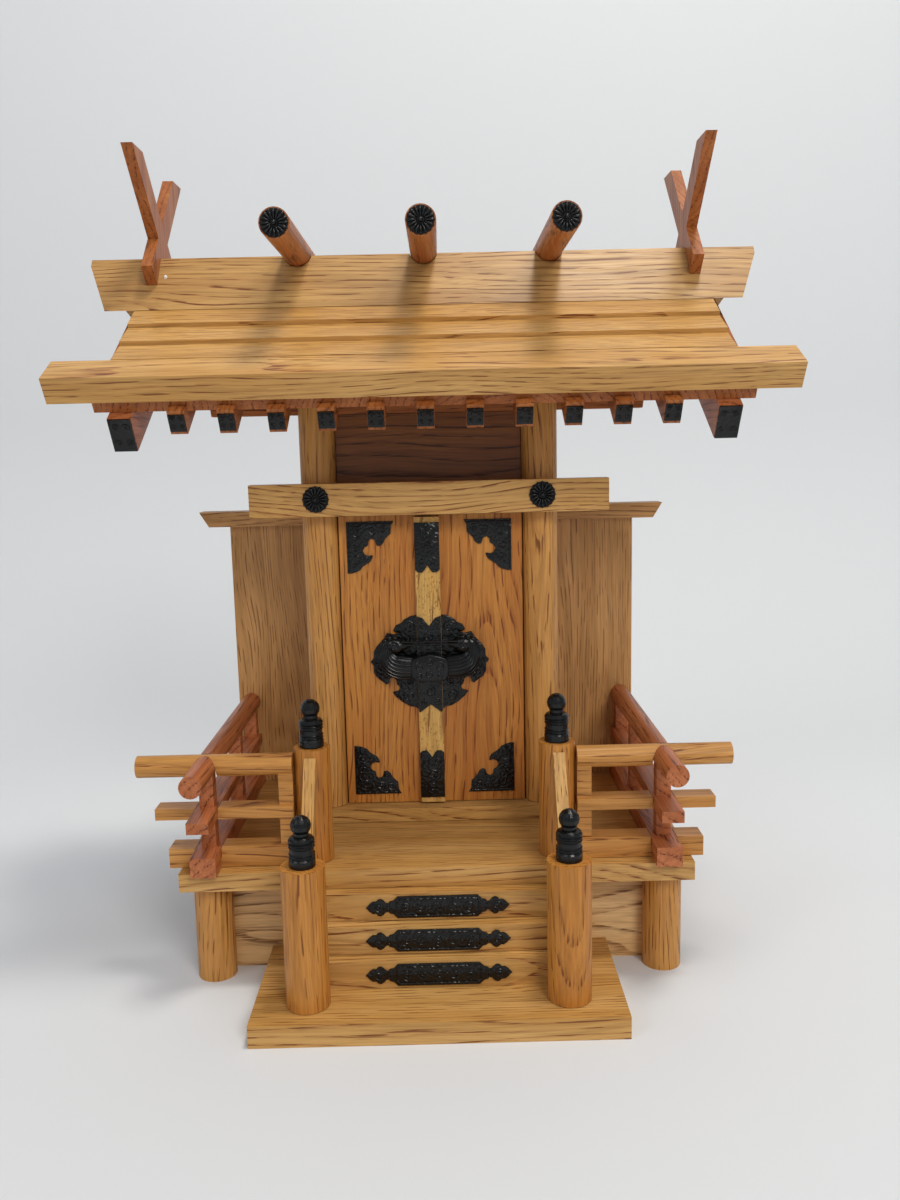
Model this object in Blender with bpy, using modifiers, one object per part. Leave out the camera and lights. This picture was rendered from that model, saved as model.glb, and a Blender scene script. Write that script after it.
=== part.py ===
# A household Shinto altar (kamidana) in oiled zelkova with black fittings: a small shrine on a
# railed deck with three steps, under a gabled board roof with ridge logs and crossed finials.
# Metres, +Z up. The doors face -Y. The origin is on the ground, at the middle of the outline.
import math

import bmesh
import bpy
from mathutils import Vector

# Clearance between pieces that touch
GAP = 0.0003

# Stair: bottom board and three solid steps
BOARD_WIDTH = 0.1942
BOARD_THICK = 0.0121
BOARD_FRONT = 0.0570
STEP_COUNT = 3
STEP_RUN = 0.0077
STEP_WIDTH = 0.1440
TOP_RISER_OUT = 0.0075

# Deck on round legs, with a skirt board behind the steps
DECK_WIDTH = 0.2844
DECK_DEPTH = 0.2000
DECK_TOP = 0.0691
DECK_THICK = 0.0104
LEG_RADIUS = 0.0109
LEG_X = 0.1283
LEG_INSET = 0.0204
SKIRT_INSET = 0.0275
SKIRT_THICK = 0.0060

# Round newel posts with turned finials, and the stair's sloping handrails
NEWEL_X = 0.0684
FRONT_NEWEL_RADIUS = 0.0116
FRONT_NEWEL_OUT = 0.0363
FRONT_NEWEL_TOP = 0.0881
REAR_NEWEL_RADIUS = 0.0101
REAR_NEWEL_INSET = 0.0190
REAR_NEWEL_TOP = 0.1346
FINIAL_DRUM = 0.0138
FINIAL_NECK = 0.0078
FINIAL_SHOULDER_Z = 0.0133
FINIAL_RINGS = (0.0120, 0.0104, 0.0068, 0.0052)
FINIAL_RING_WIDE = 0.0013
FINIAL_RING_HIGH = 0.0006
FINIAL_FOOT_Z = 0.0036
FINIAL_BALL = 0.0108
FINIAL_HEIGHT = 0.0268
HANDRAIL_WIDTH = 0.0065
HANDRAIL_DEEP = 0.0085
HANDRAIL_DROP = 0.0038

# Railing: round top rail, flat middle rail and square bottom rail, which overrun at the corner
RAIL_X = 0.1270
RAIL_INSET = 0.0155
TOP_RAIL_RADIUS = 0.0061
TOP_RAIL_Z = 0.1261
TOP_RAIL_OVERRUN = 0.0380
MIDDLE_RAIL_WIDE = 0.0120
MIDDLE_RAIL_TALL = 0.0063
MIDDLE_RAIL_Z = 0.1000
MIDDLE_RAIL_OVERRUN = 0.0285
BOTTOM_RAIL_WIDE = 0.0140
BOTTOM_RAIL_TALL = 0.0110
BOTTOM_RAIL_OVERRUN = 0.0218
RAIL_POST = 0.0080
SIDE_POSTS = (0.0, 0.0800, 0.1350)

# Shrine body: floor board, round pillars, walls, front beam
FLOOR_WIDTH = 0.1610
FLOOR_INSET = 0.0704
FLOOR_THICK = 0.0087
PILLAR_X = 0.0661
PILLAR_RADIUS = 0.0106
FRONT_PILLAR_INSET = 0.0843
WALL_THICK = 0.0060
PURLIN_STEP_BACK = 0.0005
PURLIN_THICK = 0.0100
PURLIN_HALF = 0.1330
PURLIN_END_CUT = 0.0050
FRONT_PURLIN_BOTTOM = 0.3180
REAR_PURLIN_TALL = 0.0160
REAR_PURLIN_HALF = 0.0820
UPPER_WALL_STEP_BACK = 0.0010
HEAD_Z = 0.2582
BEAM_HALF = 0.1051
BEAM_THICK = 0.0106
BEAM_PROUD = 0.0081
BEAM_BOTTOM = 0.2589
BEAM_TALL = 0.0190

# Wing panels beside the body, with cap rails
WING_HALF = 0.1352
WING_THICK = 0.0060
WING_INSET = 0.1590
WING_CAP_BOTTOM = 0.2472
WING_CAP_TALL = 0.0099
WING_CAP_WIDE = 0.0140
WING_CAP_HALF = 0.1545
WING_CAP_CUT = 0.0060

# Doors: two leaves hung at their outer edges, the right one with a cover strip
DOOR_INSET = 0.0803
DOOR_THICK = 0.0050
DOOR_EDGE_GAP = 0.0006
DOOR_MEETING_GAP = 0.0006
DOOR_FLOOR_GAP = 0.0006
DOOR_HEAD_GAP = 0.0005
STRIP_WIDE = 0.0148
STRIP_X = -0.0022
STRIP_THICK = 0.0040
STRIP_SHORT = 0.0010

# Lock: a shrimp-shaped bar with a shackle rod
LOCK_Z = 0.1655
LOCK_HALF = 0.0290
LOCK_RISE = 0.0185
LOCK_THICK = 0.0080
LOCK_TIP = 0.0024
LOCK_FLATNESS = 0.44
LOCK_CURL = 2.6
LOCK_TAPER = 0.8
LOCK_STEPS = 16
LOCK_ROD = 0.0011
LOCK_ROD_SIDES = 8
LOCK_CLEAR = 0.0006

# Roof: slope from the fascia's lower front corner (eave) to the ridge
ROOF_SLOPE = math.radians(32.0)
EAVE_INSET = 0.0049
EAVE_Z = 0.3242
RIDGE_INSET = 0.0960
BACK_SLOPE_SHORTER = 0.0380
FASCIA_HALF = 0.1950
FASCIA_WIDE = 0.0212
FASCIA_TALL = 0.0150
FASCIA_FALL = 0.0016
SHEATH_HALF = 0.1728
SHEATH_THICK = 0.0068
SHEATH_SET_BACK = 0.0026
RAFTER_COUNT = 11
RAFTER_PITCH = 0.0258
RAFTER_WIDE = 0.0090
RAFTER_DEEP = 0.0102
RAFTER_FRONT = -0.0036
BARGE_X = 0.1588
BARGE_WIDE = 0.0124
BARGE_DEEP = 0.0197
BOARDS_HALF = 0.1641
BOARD_LAPS = 3
BOARD_EXPOSURE = 0.0206
BOARD_PROUD = 0.0136
BOARD_LOW = 0.0112

# Ridge: two steep boards, three logs and two pairs of crossed finials
RIDGE_BOARD_FOOT = 0.0670
RIDGE_TOP_HALF = 0.0072
RIDGE_BOARD_SLOPE = math.radians(54.3)
RIDGE_BOARD_THICK = 0.0063
RIDGE_BOARD_HALF = 0.1930
RIDGE_BOARD_FOOT_HALF = 0.1808
RIDGE_END_UPRIGHT = 0.0040
LOG_RADIUS = 0.0079
LOG_PITCH = 0.0733
LOG_ABOVE_RIDGE = 0.0014
LOG_HALF = 0.0940
FINIAL_BAR_FROM_END = 0.0370
FINIAL_BAR_THICK = 0.0063
FINIAL_BAR_WIDE = 0.0140
FINIAL_BAR_SLOPE = math.radians(44.5)
FINIAL_CROSS_ABOVE_RIDGE = 0.0109
FINIAL_TOP_ABOVE_CROSS = 0.0415
FINIAL_FOOT_LONG = 0.0330

# Places worked out from these
TOTAL_DEPTH = BOARD_FRONT + DECK_DEPTH
DECK_FRONT_Y = BOARD_FRONT - TOTAL_DEPTH / 2
DECK_BOTTOM = DECK_TOP - DECK_THICK
FLOOR_TOP = DECK_TOP + GAP + FLOOR_THICK
RIDGE_Y = DECK_FRONT_Y + RIDGE_INSET
FRONT_Y = DECK_FRONT_Y + FRONT_PILLAR_INSET
WING_Y = DECK_FRONT_Y + WING_INSET
WING_FRONT_Y = WING_Y - WING_THICK / 2
REAR_Y = WING_FRONT_Y - GAP - PILLAR_RADIUS
DOOR_Y = DECK_FRONT_Y + DOOR_INSET
DOOR_AXIS_X = PILLAR_X - PILLAR_RADIUS - DOOR_EDGE_GAP
FINIAL_BAR_X = RIDGE_BOARD_HALF - FINIAL_BAR_FROM_END
SLOPE_OUT = math.cos(ROOF_SLOPE)
SLOPE_UP = math.sin(ROOF_SLOPE)
BIG = 1.0

ROUND_STEPS = 24


def clear_scene():
    for obj in list(bpy.data.objects):
        bpy.data.objects.remove(obj, do_unlink=True)


def new_collection(name):
    collection = bpy.data.collections.new(name)
    bpy.context.scene.collection.children.link(collection)
    return collection


def new_material(name, colour, roughness, metallic=0.0):
    material = bpy.data.materials.new(name)
    material.use_nodes = True
    shader = material.node_tree.nodes["Principled BSDF"]
    shader.inputs["Base Color"].default_value = (*colour, 1.0)
    shader.inputs["Roughness"].default_value = roughness
    shader.inputs["Metallic"].default_value = metallic
    return material


def behind_deck_front(inset):
    return DECK_FRONT_Y + inset


def roof_point(along, above):
    # A point of the front slope: along it from the eave, and square above it
    y = behind_deck_front(EAVE_INSET) + along * SLOPE_OUT - above * SLOPE_UP
    z = EAVE_Z + along * SLOPE_UP + above * SLOPE_OUT
    return y, z


def along_at_ridge(above):
    # How far up the slope a line at this height above it meets the ridge
    return (RIDGE_Y - behind_deck_front(EAVE_INSET) + above * SLOPE_UP) / SLOPE_OUT


def underside_z(y):
    # Height of the rafters' underside over a place on either slope
    front_y = RIDGE_Y - abs(y - RIDGE_Y)
    below = -(SHEATH_THICK + RAFTER_DEEP)
    along = (front_y - behind_deck_front(EAVE_INSET) + below * SLOPE_UP) / SLOPE_OUT
    return EAVE_Z + along * SLOPE_UP + below * SLOPE_OUT


def add_object(name, data, collection, material=None):
    obj = bpy.data.objects.new(name, data)
    collection.objects.link(obj)
    if material is not None:
        data.materials.append(material)
    return obj


def add_box(name, x, y, z, material, collection=None):
    # x, y and z are (low, high) pairs
    mesh = bpy.data.meshes.new(name)
    shape = bmesh.new()
    bmesh.ops.create_cube(shape, size=1.0)
    size = (x[1] - x[0], y[1] - y[0], z[1] - z[0])
    bmesh.ops.scale(shape, vec=size, verts=shape.verts)
    shape.to_mesh(mesh)
    shape.free()
    obj = add_object(name, mesh, collection or parts, material)
    obj.location = ((x[0] + x[1]) / 2, (y[0] + y[1]) / 2, (z[0] + z[1]) / 2)
    return obj


def add_rod(name, start, end, radius, material, collection=None, sides=ROUND_STEPS):
    # A round bar between two points
    start = Vector(start)
    end = Vector(end)
    mesh = bpy.data.meshes.new(name)
    shape = bmesh.new()
    bmesh.ops.create_cone(
        shape, cap_ends=True, segments=sides, radius1=radius, radius2=radius, depth=(end - start).length
    )
    shape.to_mesh(mesh)
    shape.free()
    mesh.shade_smooth()
    mesh.set_sharp_from_angle(angle=math.radians(40))
    obj = add_object(name, mesh, collection or parts, material)
    obj.location = (start + end) / 2
    obj.rotation_mode = "QUATERNION"
    obj.rotation_quaternion = (end - start).to_track_quat("Z", "Y")
    return obj


def add_outline(name, points, thick, material, place, turn, collection=None):
    # A flat outline as a 2D curve, given its thickness, then made a mesh with welded caps
    curve = bpy.data.curves.new(name, "CURVE")
    curve.dimensions = "2D"
    curve.fill_mode = "BOTH"
    curve.extrude = thick / 2
    spline = curve.splines.new("POLY")
    spline.points.add(len(points) - 1)
    for target, point in zip(spline.points, points):
        target.co = (point[0], point[1], 0.0, 1.0)
    spline.use_cyclic_u = True
    guide = bpy.data.objects.new(name + "_outline", curve)
    bpy.context.scene.collection.objects.link(guide)
    guide.location = place
    guide.rotation_euler = turn
    bpy.context.view_layer.update()
    graph = bpy.context.evaluated_depsgraph_get()
    mesh = bpy.data.meshes.new_from_object(guide.evaluated_get(graph))
    mesh.name = name
    shape = bmesh.new()
    shape.from_mesh(mesh)
    bmesh.ops.remove_doubles(shape, verts=shape.verts, dist=0.000001)
    bmesh.ops.recalc_face_normals(shape, faces=shape.faces)
    shape.to_mesh(mesh)
    shape.free()
    obj = add_object(name, mesh, collection or parts, material)
    obj.matrix_world = guide.matrix_world.copy()
    bpy.data.objects.remove(guide, do_unlink=True)
    return obj


def outline_across(name, points, x, material, collection=None):
    # The outline lies in the YZ plane and runs along X, between a (low, high) pair
    place = ((x[0] + x[1]) / 2, 0.0, 0.0)
    turn = (math.pi / 2, 0.0, math.pi / 2)
    return add_outline(name, points, x[1] - x[0], material, place, turn, collection)


def outline_upright(name, points, y, material, collection=None):
    # The outline lies in the XZ plane and runs along Y
    place = (0.0, (y[0] + y[1]) / 2, 0.0)
    turn = (math.pi / 2, 0.0, 0.0)
    return add_outline(name, points, y[1] - y[0], material, place, turn, collection)


def add_turned(name, profile, place, material):
    # The profile lists (radius, height) pairs from the top down
    mesh = bpy.data.meshes.new(name)
    mesh.from_pydata(
        [(radius, 0.0, height) for radius, height in profile],
        [(i, i + 1) for i in range(len(profile) - 1)],
        [],
    )
    obj = add_object(name, mesh, parts, material)
    obj.location = place
    screw = obj.modifiers.new("Turn", "SCREW")
    screw.steps = ROUND_STEPS
    screw.render_steps = ROUND_STEPS
    screw.use_merge_vertices = True
    screw.merge_threshold = 0.00001
    screw.use_smooth_shade = True
    return obj


def cut(obj, cutter, operation="DIFFERENCE"):
    cutter.hide_render = True
    cutter.display_type = "WIRE"
    boolean = obj.modifiers.new(cutter.name, "BOOLEAN")
    boolean.operation = operation
    boolean.object = cutter
    boolean.solver = "EXACT"
    return obj


def fuse(obj, others):
    for other in others:
        cut(obj, other, "UNION")
    return obj


def turn_to_back(obj):
    # The back slope is the front one turned half round the ridge's centre
    pivot = bpy.data.objects.get("back_slope_pivot")
    if pivot is None:
        pivot = add_object("back_slope_pivot", None, parts)
        pivot.location = (0.0, RIDGE_Y, 0.0)
        pivot.rotation_euler = (0.0, 0.0, math.pi)
    placed = obj.matrix_basis.copy()
    obj.parent = pivot
    placed.translation.y -= RIDGE_Y
    obj.matrix_basis = placed


def make_stair():
    skirt_y = behind_deck_front(SKIRT_INSET)
    front = behind_deck_front(-BOARD_FRONT)
    half = BOARD_WIDTH / 2
    add_box("step_board", (-half, half), (front, skirt_y - GAP), (0.0, BOARD_THICK), wood)
    rise = (DECK_BOTTOM - BOARD_THICK) / STEP_COUNT
    half = STEP_WIDTH / 2
    for i, name in enumerate(("step_top", "step_middle", "step_low")):
        riser_y = behind_deck_front(-TOP_RISER_OUT - i * STEP_RUN)
        top = DECK_BOTTOM - i * rise - GAP
        add_box(name, (-half, half), (riser_y, skirt_y - GAP), (top - rise + GAP, top), wood)


def make_deck():
    half = DECK_WIDTH / 2
    back = behind_deck_front(DECK_DEPTH)
    add_box("deck", (-half, half), (DECK_FRONT_Y, back), (DECK_BOTTOM, DECK_TOP), wood)
    skirt_y = behind_deck_front(SKIRT_INSET)
    reach = math.sqrt(LEG_RADIUS**2 - (SKIRT_INSET - LEG_INSET) ** 2)
    half = LEG_X - reach - GAP
    add_box("front_skirt", (-half, half), (skirt_y, skirt_y + SKIRT_THICK), (0.0, DECK_BOTTOM - GAP), wood)
    for side, sign in SIDES:
        for end, inset in (("front", LEG_INSET), ("back", DECK_DEPTH - LEG_INSET)):
            foot = (sign * LEG_X, behind_deck_front(inset), 0.0)
            head = (foot[0], foot[1], DECK_BOTTOM - GAP)
            add_rod(end + "_leg_" + side, foot, head, LEG_RADIUS, wood)


def finial_profile():
    # A ball on a domed drum with raised rings, from the top down
    drum = FINIAL_DRUM / 2
    ball = FINIAL_BALL / 2
    ball_z = FINIAL_HEIGHT - ball
    profile = [(0.0, FINIAL_HEIGHT)]
    for i in range(1, 7):
        angle = math.radians(90 - i * 22)
        profile.append((ball * math.cos(angle), ball_z + ball * math.sin(angle)))
    neck = FINIAL_NECK / 2
    neck_z = ball_z - ball
    profile.append((neck, neck_z))
    for i in range(1, 5):
        angle = math.radians(90 - i * 22)
        dome_x = neck + (drum - neck) * math.cos(angle)
        profile.append((dome_x, FINIAL_SHOULDER_Z + (neck_z - FINIAL_SHOULDER_Z) * math.sin(angle)))
    for ring_z in FINIAL_RINGS:
        profile.append((drum - FINIAL_RING_HIGH, ring_z + FINIAL_RING_WIDE / 2))
        profile.append((drum, ring_z))
        profile.append((drum - FINIAL_RING_HIGH, ring_z - FINIAL_RING_WIDE / 2))
    profile += [(drum, FINIAL_FOOT_Z), (drum, 0.0), (0.0, 0.0)]
    return profile


def make_newels():
    for side, sign in SIDES:
        x = sign * NEWEL_X
        front_y = behind_deck_front(-FRONT_NEWEL_OUT)
        rear_y = behind_deck_front(REAR_NEWEL_INSET)
        ends = ((x, front_y, BOARD_THICK + GAP), (x, front_y, FRONT_NEWEL_TOP))
        add_rod("front_newel_" + side, *ends, FRONT_NEWEL_RADIUS, wood)
        add_rod(
            "rear_newel_" + side,
            (x, rear_y, DECK_TOP + GAP),
            (x, rear_y, REAR_NEWEL_TOP),
            REAR_NEWEL_RADIUS,
            wood,
        )
        place = (x, front_y, FRONT_NEWEL_TOP + GAP)
        add_turned("front_newel_finial_" + side, finial_profile(), place, black)
        add_turned("rear_newel_finial_" + side, finial_profile(), (x, rear_y, REAR_NEWEL_TOP + GAP), black)
        low_y = front_y + FRONT_NEWEL_RADIUS + GAP
        high_y = rear_y - REAR_NEWEL_RADIUS - GAP
        high_z = REAR_NEWEL_TOP - HANDRAIL_DROP
        low_z = FRONT_NEWEL_TOP - HANDRAIL_DROP
        deep = HANDRAIL_DEEP / math.cos(math.atan2(high_z - low_z, high_y - low_y))
        points = [(low_y, low_z - deep), (high_y, high_z - deep), (high_y, high_z), (low_y, low_z)]
        name = "stair_handrail_" + side
        outline_across(name, points, (x - HANDRAIL_WIDTH / 2, x + HANDRAIL_WIDTH / 2), wood)


def crossing_cutter(name, x, y, z, wide, tall, upper):
    # Half of where two rails cross: the upper or lower half of the other rail's square section
    half = wide / 2 + GAP
    spans = (z - GAP / 2, z + tall / 2 + GAP) if upper else (z - tall / 2 - GAP, z + GAP / 2)
    return add_box(name, (x - half, x + half), (y - half, y + half), spans, None, cutters)


def saddle_cutter(name, x, y, z, radius):
    # The upper half of a round rail along x, with the gap round it
    grown = radius + GAP
    rod = add_rod(name, (x - grown, y, z), (x + grown, y, z), grown, None, cutters)
    reach = 2 * grown
    spans = ((x - reach, x + reach), (y - reach, y + reach), (z - reach, z - GAP / 2))
    below = add_box(name + "_below", *spans, None, cutters)
    cut(rod, below)
    return rod


def make_railings():
    # Side and front rails cross at the corner in half laps. The side ones lie uppermost, but
    # the round front rail rides over the side one, which is hollowed to fit round it
    rail_y = behind_deck_front(RAIL_INSET)
    deck_z = DECK_TOP + GAP
    bottom_z = deck_z + BOTTOM_RAIL_TALL / 2
    levels = (
        ("bottom", bottom_z, BOTTOM_RAIL_WIDE, BOTTOM_RAIL_TALL, BOTTOM_RAIL_OVERRUN),
        ("middle", MIDDLE_RAIL_Z, MIDDLE_RAIL_WIDE, MIDDLE_RAIL_TALL, MIDDLE_RAIL_OVERRUN),
        ("top", TOP_RAIL_Z, 2 * TOP_RAIL_RADIUS, 2 * TOP_RAIL_RADIUS, TOP_RAIL_OVERRUN),
    )
    panel_y = WING_Y - WING_THICK / 2 - GAP
    post = RAIL_POST / 2
    inner_x = NEWEL_X + REAR_NEWEL_RADIUS + GAP
    for side, sign in SIDES:
        x = sign * RAIL_X
        side_rails = []
        front_rails = []
        for level, z, wide, tall, overrun in levels:
            along = (rail_y - overrun, panel_y)
            across = sorted((sign * inner_x, sign * (RAIL_X + overrun)))
            side_name = f"side_railing_{side}_{level}"
            front_name = f"front_railing_{side}_{level}"
            if level == "top":
                ends = ((x, along[0], z), (x, along[1], z))
                side_rails.append(add_rod(side_name, *ends, wide / 2, wood, cutters))
                ends = ((across[0], rail_y, z), (across[1], rail_y, z))
                front_rails.append(add_rod(front_name, *ends, wide / 2, wood, cutters))
                continue
            height = (z - tall / 2, z + tall / 2)
            home = parts if level == "bottom" else cutters
            if level == "bottom":
                side_name = "side_railing_" + side
                front_name = "front_railing_" + side
            side_rails.append(add_box(side_name, (x - wide / 2, x + wide / 2), along, height, wood, home))
            depth = (rail_y - wide / 2, rail_y + wide / 2)
            front_rails.append(add_box(front_name, across, depth, height, wood, home))
        for i, place in enumerate(SIDE_POSTS):
            y = rail_y + place
            spot = ((x - post, x + post), (y - post, y + post), (bottom_z, TOP_RAIL_Z))
            side_rails.append(add_box(f"side_post_{side}_{i}", *spot, wood, cutters))
        post_x = sign * (inner_x + post)
        spot = ((post_x - post, post_x + post), (rail_y - post, rail_y + post), (bottom_z, TOP_RAIL_Z))
        front_rails.append(add_box("front_post_" + side, *spot, wood, cutters))
        fuse(side_rails[0], side_rails[1:])
        fuse(front_rails[0], front_rails[1:])
        for level, z, wide, tall, _ in levels:
            name = f"crossing_{side}_{level}_"
            if level == "top":
                cut(side_rails[0], saddle_cutter(name + "upper", x, rail_y, z, wide / 2))
                cut(front_rails[0], crossing_cutter(name + "lower", x, rail_y, z, wide, tall, False))
                continue
            cut(side_rails[0], crossing_cutter(name + "lower", x, rail_y, z, wide, tall, False))
            cut(front_rails[0], crossing_cutter(name + "upper", x, rail_y, z, wide, tall, True))


def make_body():
    half = FLOOR_WIDTH / 2
    front = behind_deck_front(FLOOR_INSET)
    back = WING_FRONT_Y - GAP
    add_box("body_floor", (-half, half), (front, back), (DECK_TOP + GAP, FLOOR_TOP), wood)
    purlin_y = (FRONT_Y + PURLIN_STEP_BACK, FRONT_Y + PURLIN_STEP_BACK + PURLIN_THICK)
    front_top = underside_z(purlin_y[0]) - GAP
    make_purlin("front_purlin", PURLIN_HALF, purlin_y, FRONT_PURLIN_BOTTOM, front_top)
    rear_y = (REAR_Y - PURLIN_THICK / 2, REAR_Y + PURLIN_THICK / 2)
    rear_top = underside_z(rear_y[1]) - GAP
    rear_bottom = rear_top - REAR_PURLIN_TALL
    make_purlin("rear_purlin", REAR_PURLIN_HALF, rear_y, rear_bottom, rear_top)
    foot = FLOOR_TOP + GAP
    head = underside_z(FRONT_Y - PILLAR_RADIUS) - GAP
    slot_y = (purlin_y[0] - GAP, FRONT_Y + 2 * PILLAR_RADIUS)
    slot = add_box("purlin_notch", (-BIG, BIG), slot_y, (FRONT_PURLIN_BOTTOM - GAP, BIG), None, cutters)
    beam_y = (FRONT_Y - PILLAR_RADIUS - BEAM_PROUD, FRONT_Y - PILLAR_RADIUS - BEAM_PROUD + BEAM_THICK)
    beam_z = (BEAM_BOTTOM, BEAM_BOTTOM + BEAM_TALL)
    beam = add_box("front_beam", (-BEAM_HALF, BEAM_HALF), beam_y, beam_z, wood)
    for side, sign in SIDES:
        x = sign * PILLAR_X
        ends = ((x, FRONT_Y, foot), (x, FRONT_Y, head))
        pillar = add_rod("front_pillar_" + side, *ends, PILLAR_RADIUS, wood)
        cut(pillar, slot)
        ends = ((x, FRONT_Y, beam_z[0] - BEAM_TALL), (x, FRONT_Y, beam_z[1] + BEAM_TALL))
        cut(beam, add_rod("beam_notch_" + side, *ends, PILLAR_RADIUS + GAP, None, cutters))
        ends = ((x, REAR_Y, foot), (x, REAR_Y, rear_bottom - GAP))
        add_rod("rear_pillar_" + side, *ends, PILLAR_RADIUS, wood)
        low = FRONT_Y + PILLAR_RADIUS + GAP
        high = REAR_Y - PILLAR_RADIUS - GAP
        points = [(low, foot), (high, foot), (high, underside_z(high) - GAP)]
        points += [(RIDGE_Y, underside_z(RIDGE_Y) - GAP)] if low < RIDGE_Y else []
        points.append((low, underside_z(low) - GAP))
        outline_across("side_wall_" + side, points, (x - WALL_THICK / 2, x + WALL_THICK / 2), wood)
        make_wing(side, sign)
    inner = PILLAR_X - PILLAR_RADIUS - GAP
    upper = (FRONT_Y + UPPER_WALL_STEP_BACK, FRONT_Y + UPPER_WALL_STEP_BACK + WALL_THICK)
    add_box("upper_front_wall", (-inner, inner), upper, (HEAD_Z, FRONT_PURLIN_BOTTOM - GAP), wood)
    back_wall = (REAR_Y - WALL_THICK / 2, REAR_Y + WALL_THICK / 2)
    add_box("back_wall", (-inner, inner), back_wall, (foot, rear_bottom - GAP), wood)


def make_purlin(name, half, y, bottom, top):
    # A beam under the rafters, with slanted ends
    low = half - PURLIN_END_CUT
    points = [(-low, bottom), (low, bottom), (half, top), (-half, top)]
    return outline_upright(name, points, y, wood)


def make_wing(side, sign):
    # A panel fixed behind the rear pillar, with a cap rail notched round the pillar
    inner = sign * (PILLAR_X - PILLAR_RADIUS)
    across = sorted((inner, sign * WING_HALF))
    depth = (WING_FRONT_Y, WING_FRONT_Y + WING_THICK)
    add_box("wing_panel_" + side, across, depth, (DECK_TOP + GAP, WING_CAP_BOTTOM - GAP), wood)
    top = WING_CAP_BOTTOM + WING_CAP_TALL
    points = [
        (inner, WING_CAP_BOTTOM),
        (sign * (WING_CAP_HALF - WING_CAP_CUT), WING_CAP_BOTTOM),
        (sign * WING_CAP_HALF, top),
        (inner, top),
    ]
    depth = (WING_Y - WING_CAP_WIDE / 2, WING_Y + WING_CAP_WIDE / 2)
    cap = outline_upright("wing_cap_" + side, points, depth, wood)
    x = sign * PILLAR_X
    ends = ((x, REAR_Y, WING_CAP_BOTTOM - WING_CAP_TALL), (x, REAR_Y, top + WING_CAP_TALL))
    cut(cap, add_rod("wing_cap_notch_" + side, *ends, PILLAR_RADIUS + GAP, None, cutters))


def make_doors():
    # Each leaf turns about its outer front edge. The right one carries the strip and the lock.
    low_z = FLOOR_TOP + DOOR_FLOOR_GAP
    high_z = HEAD_Z - DOOR_HEAD_GAP
    depth = (DOOR_Y, DOOR_Y + DOOR_THICK)
    meeting = DOOR_MEETING_GAP / 2
    for side, sign in SIDES:
        pair = sorted((sign * meeting, sign * DOOR_AXIS_X))
        add_box(side + "_door", pair, depth, (low_z, high_z), wood)
    depth = (DOOR_Y - GAP - STRIP_THICK, DOOR_Y - GAP)
    across = (STRIP_X - STRIP_WIDE / 2, STRIP_X + STRIP_WIDE / 2)
    add_box("door_strip", across, depth, (low_z + STRIP_SHORT, high_z - STRIP_SHORT), wood)


def make_lock():
    # A bar that swells in the middle and curves up into two horns, closed by a straight rod
    deep = LOCK_THICK * LOCK_FLATNESS
    y = DOOR_Y - GAP - STRIP_THICK - LOCK_CLEAR - deep
    curve = bpy.data.curves.new("shrimp_lock", "CURVE")
    curve.dimensions = "3D"
    curve.bevel_depth = 1.0
    curve.bevel_resolution = 2
    curve.use_fill_caps = True
    spline = curve.splines.new("POLY")
    spline.points.add(LOCK_STEPS)
    for i, point in enumerate(spline.points):
        # From -1 at the left horn to 1 at the right one
        share = 2 * i / LOCK_STEPS - 1
        lift = LOCK_RISE * abs(share) ** LOCK_CURL
        point.co = (LOCK_HALF * math.sin(share * math.pi / 2), 0.0, lift, 1.0)
        point.radius = LOCK_TIP + (LOCK_THICK - LOCK_TIP) * (1 - share**2) ** LOCK_TAPER
    guide = bpy.data.objects.new("shrimp_lock_path", curve)
    bpy.context.scene.collection.objects.link(guide)
    bpy.context.view_layer.update()
    graph = bpy.context.evaluated_depsgraph_get()
    mesh = bpy.data.meshes.new_from_object(guide.evaluated_get(graph))
    shape = bmesh.new()
    shape.from_mesh(mesh)
    bmesh.ops.remove_doubles(shape, verts=shape.verts, dist=0.00001)
    bmesh.ops.recalc_face_normals(shape, faces=shape.faces)
    bmesh.ops.scale(shape, vec=(1.0, LOCK_FLATNESS, 1.0), verts=shape.verts)
    shape.to_mesh(mesh)
    shape.free()
    bpy.data.objects.remove(guide, do_unlink=True)
    mesh.materials.clear()
    lock = add_object("shrimp_lock", mesh, parts, black)
    lock.location = (STRIP_X, y, LOCK_Z)
    rod_z = LOCK_Z + LOCK_RISE - LOCK_TIP / 2
    reach = LOCK_HALF - LOCK_TIP / 2
    ends = ((STRIP_X - reach, y, rod_z), (STRIP_X + reach, y, rod_z))
    rod = add_rod("lock_rod", *ends, LOCK_ROD, black, cutters, LOCK_ROD_SIDES)
    fuse(lock, [rod])


def slope_box(name, x, along, above, material, collection=None):
    # A box lying on the front slope: (low, high) pairs across, up the slope and square above it
    y, z = roof_point((along[0] + along[1]) / 2, (above[0] + above[1]) / 2)
    mesh = bpy.data.meshes.new(name)
    shape = bmesh.new()
    bmesh.ops.create_cube(shape, size=1.0)
    size = (x[1] - x[0], along[1] - along[0], above[1] - above[0])
    bmesh.ops.scale(shape, vec=size, verts=shape.verts)
    shape.to_mesh(mesh)
    shape.free()
    obj = add_object(name, mesh, collection or parts, material)
    obj.location = ((x[0] + x[1]) / 2, y, z)
    obj.rotation_euler = (ROOF_SLOPE, 0.0, 0.0)
    return obj


def board_edge(number):
    # How far up the slope a lapped board's lower edge lies
    return FASCIA_WIDE + GAP + number * BOARD_EXPOSURE


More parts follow.
